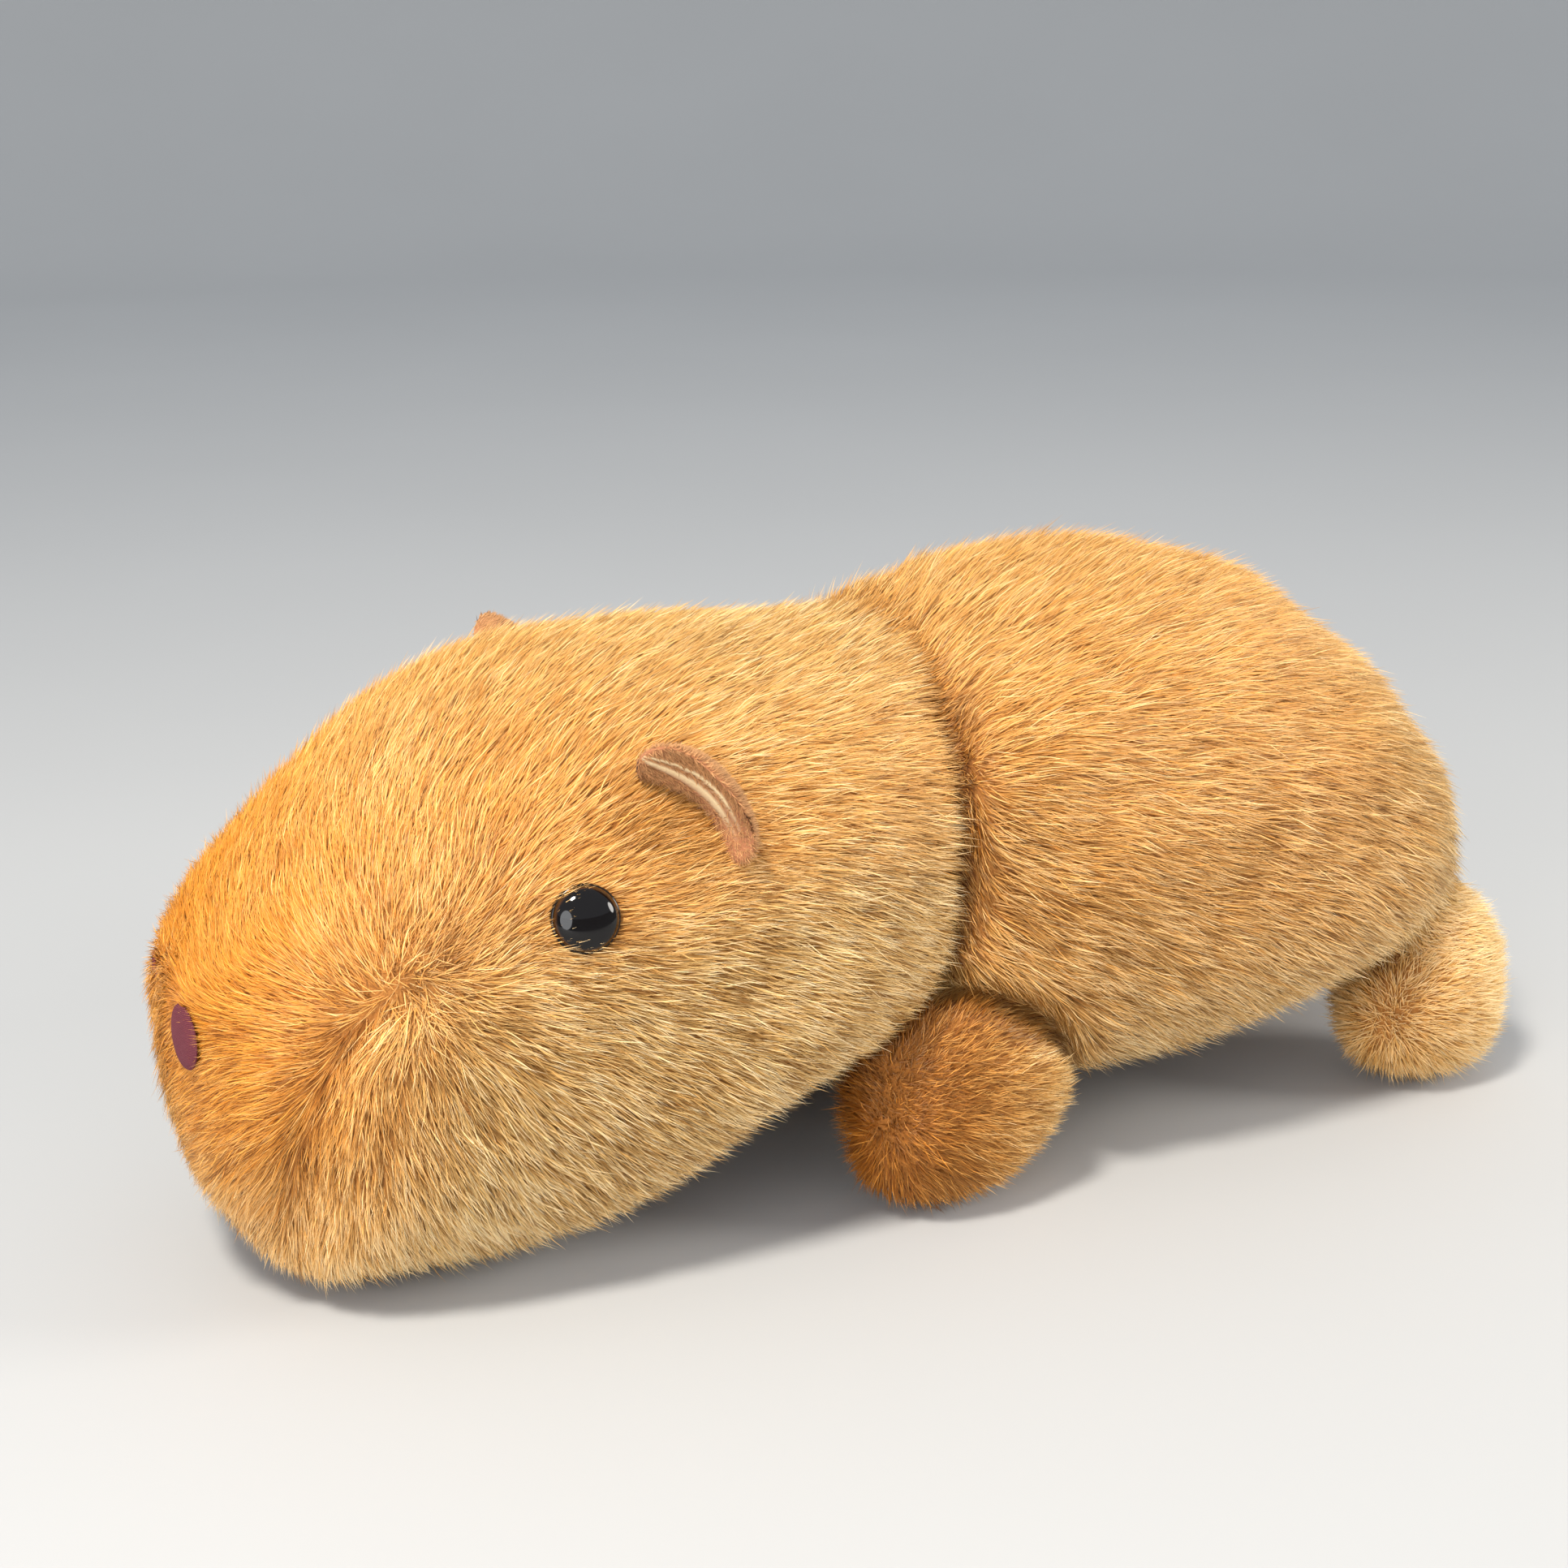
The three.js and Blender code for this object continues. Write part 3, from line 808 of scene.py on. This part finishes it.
def ear_mesh(name, rim, side, columns=72, rows=48):
    """The flap as a closed sheet, with how near each point is to the rim's seam."""
    around_root = np.arange(columns) / columns
    along_root = np.arange(1, rows) / rows
    longitude, latitude = np.meshgrid(around_root, along_root, indexing="ij")
    turn = longitude.ravel() * 2 * math.pi
    tilt = latitude.ravel() * math.pi
    u = np.append(np.cos(tilt), (1.0, -1.0))
    v = np.append(np.sin(tilt) * np.cos(turn), (0.0, 0.0))
    w = np.append(np.sin(tilt) * np.sin(turn), (0.0, 0.0))
    points = ear_point(u, v, w, rim)
    faces = []
    for i in range(columns):
        following = (i + 1) % columns
        for j in range(rows - 2):
            a, b = i * (rows - 1) + j, following * (rows - 1) + j
            faces.append((a, b, b + 1, a + 1))
        last = rows - 2
        faces.append((len(u) - 2, following * (rows - 1), i * (rows - 1)))
        faces.append((len(u) - 1, i * (rows - 1) + last, following * (rows - 1) + last))
    points[:, 0] *= side
    mesh = bpy.data.meshes.new(name)
    mesh.from_pydata(points.tolist(), [], faces)
    shape = bmesh.new()
    shape.from_mesh(mesh)
    bmesh.ops.recalc_face_normals(shape, faces=shape.faces)
    shape.to_mesh(mesh)
    around = np.arctan2(w, v)
    seam = sum(np.exp(-(((around - line) / SEAM_WIDE) ** 2)) for line in SEAM_LINES)
    # The hollow side of the ear near its root is marked for darkening: painted shade in the hollow.
    inside = np.clip((-around - 1.9) * 2.2, 0, 1)
    set_attribute(mesh, "seam", seam * (np.hypot(v, w) > 0.2) * np.clip((0.75 - u) / 0.5, 0, 1))
    set_attribute(mesh, "inside", inside * np.clip((0.6 - u) / 0.6, 0, 1))
    mesh.shade_smooth()
    return mesh


velvet_shader = Shader("pinkish brown velvet")
velvet_shader.set(Roughness=0.85, Sheen_Weight=0.1, Sheen_Roughness=0.35)
velvet = velvet_shader.mix(velvet_shader.noise(700.0), (0.50, 0.20, 0.085), (0.36, 0.135, 0.055))
# The dark brown at the root of the ear's hollow is painted shade in the hollow.
velvet = velvet_shader.mix(velvet_shader.attribute("inside"), velvet, (0.13, 0.045, 0.016))
velvet = velvet_shader.mix(velvet_shader.attribute("seam"), velvet, (1.0, 0.80, 0.46))
velvet_shader.join(velvet, velvet_shader.surface.inputs["Base Color"])
velvet_shader.bump(velvet_shader.noise(1600.0), 0.5, 0.0006)


def ear_nap(mesh):
    """A thin nap of tiny spikes over an ear, left out along the bare seam."""
    mesh.calc_loop_triangles()
    index = vertex_array(mesh, "vertices", 3, "loop_triangles").astype(int)
    points = vertex_array(mesh, "co")
    normals = vertex_array(mesh, "normal")
    seam = np.zeros(len(points), np.float32)
    mesh.attributes["seam"].data.foreach_get("value", seam)
    first, second, third = (points[index[:, k]] for k in range(3))
    cross = np.cross(second - first, third - first)
    chance = np.linalg.norm(cross, axis=1) * (seam[index].max(axis=1) < 0.45)
    chosen = rng.choice(len(chance), size=EAR_TUFTS, p=chance / chance.sum())
    weights = rng.dirichlet((1, 1, 1), EAR_TUFTS)[:, :, None]
    roots = (points[index[chosen]] * weights).sum(axis=1)
    up = unit((normals[index[chosen]] * weights).sum(axis=1))
    lie = unit(rng.normal(0, 0.35, (EAR_TUFTS, 3)) + np.array((0.0, 0.8, -0.1)))
    length = EAR_NAP * rng.uniform(0.6, 1.25, EAR_TUFTS)[:, None]
    return {
        "start": roots - up * 0.0002,
        "tip": roots + length * unit(up * 0.8 + lie),
        "side": unit(np.cross(up, lie)),
        "normal": up,
        "tilt": rng.normal(0, 0.16, (EAR_TUFTS, 3)),
        "width": 0.0004 * rng.uniform(0.8, 1.2, EAR_TUFTS),
        "tone": rng.uniform(0, 1, EAR_TUFTS),
        "warmth": np.ones(EAR_TUFTS),
    }


nap_shader = Shader("velvet nap")
nap_shader.set(Roughness=0.7, Specular_IOR_Level=0.3)
nap_rise = nap_shader.attribute("rise")
nap_colour = nap_shader.ramp(nap_rise, (0.0, (0.42, 0.165, 0.058)), (1.0, (0.82, 0.44, 0.19)))
nap_tone = nap_shader.attribute("tone")
nap_tone = nap_shader.ramp(nap_tone, (0.0, (0.72, 0.7, 0.68)), (1.0, (1.2, 1.2, 1.2)))
nap_colour = nap_shader.mix(1.0, nap_colour, nap_tone, "MULTIPLY")
nap_shader.join(nap_colour, nap_shader.surface.inputs["Base Color"])
for side, sign in (("left", 1), ("right", -1)):
    flap = ear_mesh(f"velvet_ear_{side}", EAR_REACH[side], sign)
    ear = bpy.data.objects.new(f"velvet_ear_{side}", flap)
    bpy.context.scene.collection.objects.link(ear)
    ear.data.materials.append(velvet_shader.material)
    nap = coat_piece(
        f"velvet_nap_{side}",
        [(ear_nap(ear.data), False)],
        lambda layer: np.ones(len(layer["tone"]), bool),
        node_middle(f"ear_{side}"),
    )
    nap.data.materials.append(nap_shader.material)
    for piece in (ear, nap):
        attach(piece, "root")
    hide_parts(f"ear_{side}")


# Eyes
# Safety eyes of glossy plastic, pushed through the fabric and locked behind it. Each has a domed
# front with a broad black pupil in a thin amber ring, and a narrow black rim that the pile leans
# over.
EYE_LOOKS_UP = 0.32
EYE_LOOKS_AHEAD = 0.2
EYE_FACING = np.array(
    (
        math.cos(EYE_LOOKS_UP) * math.cos(EYE_LOOKS_AHEAD),
        -math.cos(EYE_LOOKS_UP) * math.sin(EYE_LOOKS_AHEAD),
        math.sin(EYE_LOOKS_UP),
    )
)
EYE_FACING = unit(EYE_FACING)
EYE_RADIUS = 0.0083
EYE_SUNK = 0.0040
# The shank and rim from back to front, as (radius, height) down to the edge of the dome.
EYE_PROFILE = [(0.0, -0.0078), (0.0077, -0.0078), (0.0083, -0.0060), (0.0083, -0.0004)]
EYE_PROFILE += [(0.0082, 0.0001), (0.0079, 0.0004), (0.0078, 0.0004)]
DOME_RADIUS, DOME_FOOT = EYE_PROFILE[-1]
DOME_RISE = 0.0040
DOME_STEPS = 18
EYE_SIDES = 96


def turned(profile, sides):
    """The points and faces of a round piece whose profile runs from the Z axis back to it."""
    rings = [(r, z) for r, z in profile if r > 1e-9]
    turns = np.arange(sides) * 2 * math.pi / sides
    points = [(0.0, 0.0, profile[0][1])]
    for r, z in rings:
        points += [(r * math.cos(a), r * math.sin(a), z) for a in turns]
    points.append((0.0, 0.0, profile[-1][1]))
    faces = []
    for k in range(sides):
        following = (k + 1) % sides
        faces.append((0, 1 + following, 1 + k))
        for ring in range(len(rings) - 1):
            low = 1 + ring * sides
            faces.append((low + k, low + following, low + sides + following, low + sides + k))
        last = 1 + (len(rings) - 1) * sides
        faces.append((len(points) - 1, last + k, last + following))
    return np.array(points), faces


def dome_steps():
    """The clear front's profile from its edge up to its crown."""
    tilts = np.linspace(0.04, 1, DOME_STEPS) * math.pi / 2
    rise = DOME_RISE - DOME_FOOT
    steps = [(DOME_RADIUS * math.cos(a), DOME_FOOT + rise * math.sin(a)) for a in tilts[:-1]]
    return steps + [(0.0, DOME_RISE)]


eye_shader = Shader("domed eye plastic")
eye_shader.set(Roughness=0.05, Specular_IOR_Level=0.36)
ring = eye_shader.attribute("ring")
streaks = eye_shader.noise(2600.0, 2.0)
streaks = eye_shader.mix(streaks, (0.020, 0.007, 0.002), (0.065, 0.024, 0.006))
pupil_edge = eye_shader.ramp(ring, (0.83, (0, 0, 0)), (0.87, (1, 1, 1)))
iris = eye_shader.mix(pupil_edge, (0.003, 0.002, 0.002), streaks)
rim_edge = eye_shader.ramp(ring, (0.91, (0, 0, 0)), (0.94, (1, 1, 1)))
eye_colour = eye_shader.mix(rim_edge, iris, (0.004, 0.003, 0.003))
eye_shader.join(eye_colour, eye_shader.surface.inputs["Base Color"])
for side, sign in (("left", 1), ("right", -1)):
    facing = EYE_FACING * np.array((sign, 1, 1))
    middle = place(70 * sign, 90, 106) - facing * EYE_SUNK
    across = unit(np.cross(np.array((0, 0, 1.0)), facing))
    basis = np.column_stack((across, np.cross(facing, across), facing))
    points, faces = turned(EYE_PROFILE + dome_steps(), EYE_SIDES)
    mesh = bpy.data.meshes.new(f"plastic_eye_{side}")
    mesh.from_pydata((points @ basis.T + middle).tolist(), [], faces)
    set_attribute(mesh, "ring", np.hypot(points[:, 0], points[:, 1]) / EYE_RADIUS)
    mesh.shade_smooth()
    eye = bpy.data.objects.new(f"plastic_eye_{side}", mesh)
    bpy.context.scene.collection.objects.link(eye)
    eye.data.materials.append(eye_shader.material)
    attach(eye, "root")
    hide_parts(f"eye_{side}")


# Nostrils
# Two ovals of plum thread, embroidered in satin stitch through the muzzle panel. The threads run
# side by side across each oval and are drawn tight, so that it bulges in the middle. Widths and
# heights are half of each oval's. The right one is drawn deeper into the pile.
NOSTRIL_WIDE = 0.0076
NOSTRIL_TALL = 0.0083
NOSTRIL_BULGE = 0.0012
NOSTRIL_PROUD = {"left": 0.0002, "right": -0.0016}
THREAD_THICK = 0.00052
THREAD_STEPS = 14
THREAD_SIDES = 8
THREAD_OVERLAP = 0.82
THREAD_SLANT = 0.12


def stitch_line(offset):
    """The arched middle line of one thread that crosses the oval at a height."""
    share = math.sqrt(1 - (offset / NOSTRIL_TALL) ** 2)
    half = NOSTRIL_WIDE * share
    steps = np.linspace(-1, 1, THREAD_STEPS)
    bulge = NOSTRIL_BULGE * share * (1 - steps**4)
    return np.column_stack((steps * half, 0.0002 - bulge, offset + THREAD_SLANT * steps * half))


def thread_tube(line):
    """A closed tube along a line."""
    points = []
    turns = np.arange(THREAD_SIDES) * 2 * math.pi / THREAD_SIDES
    for k, middle in enumerate(line):
        ahead = unit(line[min(k + 1, len(line) - 1)] - line[max(k - 1, 0)])
        up = unit(np.cross(ahead, np.array((0.0, -1.0, 0.0))))
        out = np.cross(ahead, up)
        for turn in turns:
            points.append(middle + (up * math.cos(turn) + out * math.sin(turn)) * THREAD_THICK / 2)
    faces = [tuple(reversed(range(THREAD_SIDES)))]
    faces.append(tuple(range(len(points) - THREAD_SIDES, len(points))))
    for k in range(len(line) - 1):
        for j in range(THREAD_SIDES):
            a = k * THREAD_SIDES + j
            b = k * THREAD_SIDES + (j + 1) % THREAD_SIDES
            faces.append((a, b, b + THREAD_SIDES, a + THREAD_SIDES))
    return points, faces


thread_shader = Shader("plum embroidery thread")
thread_shader.set(Roughness=0.7, Specular_IOR_Level=0.25)
plum = thread_shader.mix(thread_shader.noise(1800.0), (0.105, 0.020, 0.030), (0.20, 0.044, 0.058))
thread_shader.join(plum, thread_shader.surface.inputs["Base Color"])
thread_shader.bump(thread_shader.noise(5000.0), 0.5, 0.0002)
muzzle_tree = BVHTree.FromObject(fabric, bpy.context.evaluated_depsgraph_get())
thread_count = int(2 * NOSTRIL_TALL / (THREAD_THICK * THREAD_OVERLAP))
for side, seat in NOSTRIL_SEATS.items():
    nostril_seat, nostril_facing = muzzle_tree.find_nearest(Vector(seat))[:2]
    turn = Matrix.Rotation(math.atan2(nostril_facing.x, -nostril_facing.y), 3, "Z")
    turn = turn @ Matrix.Rotation(-math.asin(nostril_facing.z), 3, "X")
    middle = np.array(nostril_seat + nostril_facing * NOSTRIL_PROUD[side])
    points = []
    faces = []
    for offset in np.linspace(-NOSTRIL_TALL, NOSTRIL_TALL, thread_count)[1:-1]:
        tube_points, tube_faces = thread_tube(stitch_line(offset))
        faces += [tuple(index + len(points) for index in face) for face in tube_faces]
        points += tube_points
    points = np.array(points) @ np.array(turn).T + middle
    mesh = bpy.data.meshes.new(f"stitched_nostril_{side}")
    mesh.from_pydata(points.tolist(), [], faces)
    shape = bmesh.new()
    shape.from_mesh(mesh)
    bmesh.ops.recalc_face_normals(shape, faces=shape.faces)
    shape.to_mesh(mesh)
    mesh.shade_smooth()
    nostril = bpy.data.objects.new(f"stitched_nostril_{side}", mesh)
    bpy.context.scene.collection.objects.link(nostril)
    nostril.data.materials.append(thread_shader.material)
    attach(nostril, "root")
    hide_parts(f"nostril_{side}")


# Stage
# A plain pale floor that curves up all round like a bowl, soft studio light, and the photograph's
# viewpoint.
FLOOR_RADIUS = 2.2
SWEEP_RADIUS = 1.2
SWEEP_STEPS = 16
FLOOR_SIDES = 96
floor_points = [(0.0, 0.0, 0.0)]
floor_turns = np.arange(FLOOR_SIDES) * 2 * math.pi / FLOOR_SIDES
for tilt in np.linspace(0, 1.5, SWEEP_STEPS):
    r = FLOOR_RADIUS + SWEEP_RADIUS * math.sin(tilt)
    z = SWEEP_RADIUS * (1 - math.cos(tilt))
    floor_points += [(r * math.cos(a), r * math.sin(a), z) for a in floor_turns]
floor_faces = [(0, 1 + k, 1 + (k + 1) % FLOOR_SIDES) for k in range(FLOOR_SIDES)]
for ring in range(SWEEP_STEPS - 1):
    inner = 1 + ring * FLOOR_SIDES
    outer = inner + FLOOR_SIDES
    for k in range(FLOOR_SIDES):
        following = (k + 1) % FLOOR_SIDES
        floor_faces.append((inner + k, outer + k, outer + following, inner + following))
floor_mesh = bpy.data.meshes.new("floor")
floor_mesh.from_pydata(floor_points, [], floor_faces)
floor_mesh.shade_smooth()
floor = bpy.data.objects.new("floor", floor_mesh)
bpy.context.scene.collection.objects.link(floor)
floor_shader = Shader("pale floor")
floor_shader.set(Roughness=0.8)
floor_tint = floor_shader.mix(floor_shader.noise(3.0), (0.47, 0.47, 0.465), (0.50, 0.50, 0.495))
floor_shader.join(floor_tint, floor_shader.surface.inputs["Base Color"])
floor_mesh.materials.append(floor_shader.material)

world = bpy.data.worlds.new("studio")
world.use_nodes = True
world.node_tree.nodes["Background"].inputs["Color"].default_value = (0.86, 0.92, 1.0, 1)
world.node_tree.nodes["Background"].inputs["Strength"].default_value = 0.70
bpy.context.scene.world = world
bpy.context.scene.view_settings.view_transform = "Standard"


def add_light(name, energy, size, position, colour):
    """A round soft light aimed at the middle of the toy."""
    data = bpy.data.lights.new(name, "AREA")
    data.energy = energy
    data.shape = "DISK"
    data.size = size
    data.color = colour
    light = bpy.data.objects.new(name, data)
    light.location = position
    aim = Vector((0, 0, 0.07)) - light.location
    light.rotation_euler = aim.to_track_quat("-Z", "Y").to_euler()
    bpy.context.scene.collection.objects.link(light)


# Watts, size, place and colour of each light.
add_light("key", 21.5, 0.26, (0.48, -0.60, 1.30), (1.0, 0.95, 0.87))
add_light("fill", 11.0, 0.9, (0.85, -1.10, 0.42), (0.96, 0.98, 1.0))
add_light("back", 10.0, 0.5, (0.7, 1.1, 0.60), (1.0, 0.96, 0.9))

# The camera looks down on the toy's left side from ahead of its nose, rolled by about a degree.
CAMERA_ROLL = 0.0163
CAMERA_PITCH = math.radians(18.1)
CAMERA_PLACE = place(561.4, -95.0, 309.0)
level = Vector((0.4321, 0.9018, 0.0))
ahead = Vector((-0.9018, 0.4321, 0.0))
sight = ahead * math.cos(CAMERA_PITCH) - Vector((0, 0, math.sin(CAMERA_PITCH)))
above = level.cross(sight)
right = level * math.cos(CAMERA_ROLL) - above * math.sin(CAMERA_ROLL)
up = level * math.sin(CAMERA_ROLL) + above * math.cos(CAMERA_ROLL)
camera_data = bpy.data.cameras.new("camera")
camera_data.sensor_width = 36.0
camera_data.lens = 55.9
camera_data.clip_start = 0.01
camera = bpy.data.objects.new("camera", camera_data)
turn = Matrix((right, up, -sight)).transposed().to_4x4()
camera.matrix_world = Matrix.Translation(CAMERA_PLACE) @ turn
bpy.context.scene.collection.objects.link(camera)
bpy.context.scene.camera = camera
